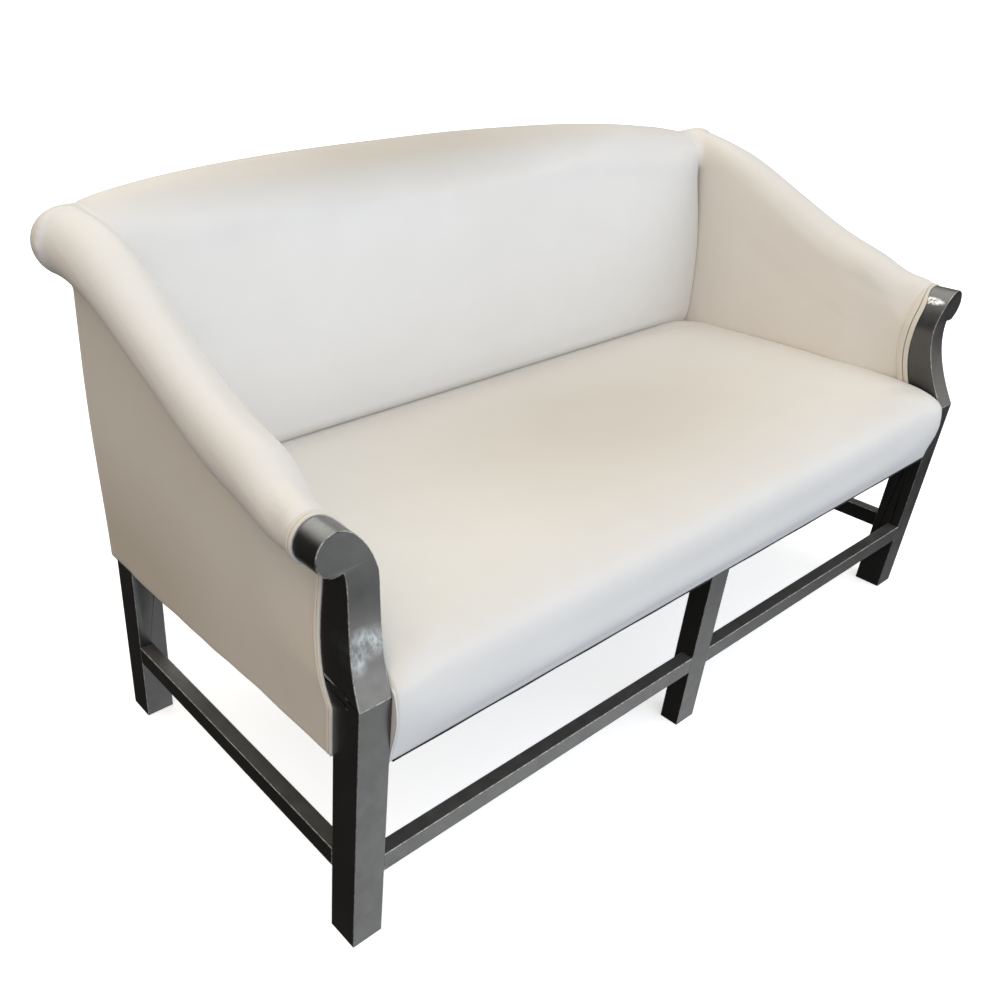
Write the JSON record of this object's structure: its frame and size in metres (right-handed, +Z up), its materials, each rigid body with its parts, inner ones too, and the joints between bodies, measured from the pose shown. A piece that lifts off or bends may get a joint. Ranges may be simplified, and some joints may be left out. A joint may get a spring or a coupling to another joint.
{
  "type": "loveseat",
  "caption": "Upholstered loveseat with an arched rolled back, sloping rolled arms, swept scrolled front posts, straight legs and low stretchers.",
  "frame": {"origin": "on the floor, under the middle of the loveseat's bounding box", "axes": "+X to the right when you face the loveseat, +Y from its front to its back, +Z up"},
  "size_m": [1.6038, 0.7387, 0.9009],
  "materials": {
    "show_frame": "graphite metallic lacquer, satin gloss, worn pale along the edges",
    "hardwood": "planed, unfinished",
    "steel": "oil-tempered wire and zinc-plated fasteners",
    "burlap": "plain weave",
    "foam": "open-cell foam",
    "leather": "cream, fine grain, satin",
    "outer_leather": "cream, fine grain, satin",
    "dust_cloth": "black non-woven cambric"
  },
  "bodies": {
    "root": {"front_left_post": "show_frame", "front_right_post": "show_frame", "front_center_leg": "show_frame", "back_left_post": "show_frame", "back_right_post": "show_frame", "back_center_leg": "show_frame", "front_left_stretcher": "show_frame", "front_right_stretcher": "show_frame", "left_side_stretcher": "show_frame", "right_side_stretcher": "show_frame", "front_seat_rail": "hardwood", "back_seat_rail": "hardwood", "left_seat_rail": "hardwood", "right_seat_rail": "hardwood", "seat_center_brace": "hardwood", "corner_blocks": "hardwood", "corner_block_screws": "steel", "seat_springs": "steel", "seat_spring_clips": "steel", "seat_burlap": "burlap", "seat_foam": "foam", "seat_cover": "leather", "dust_cover": "dust_cloth", "back_top_rail": "hardwood", "back_lower_rail": "hardwood", "back_center_stile": "hardwood", "back_springs": "steel", "back_spring_clips": "steel", "back_burlap": "burlap", "back_foam": "foam", "inside_back_cover": "leather", "outside_back_panel": "outer_leather", "left_arm_rail": "hardwood", "right_arm_rail": "hardwood", "left_arm_tack_rail": "hardwood", "right_arm_tack_rail": "hardwood", "left_arm_foam": "foam", "right_arm_foam": "foam", "left_arm_cover": "leather", "right_arm_cover": "leather", "left_outside_panel": "outer_leather", "right_outside_panel": "outer_leather", "left_arm_welt": "leather", "right_arm_welt": "leather", "rail_dowels": "hardwood", "stretcher_dowels": "hardwood", "center_leg_bolts": "steel", "post_plugs": "show_frame"}
  },
  "joints": []
}
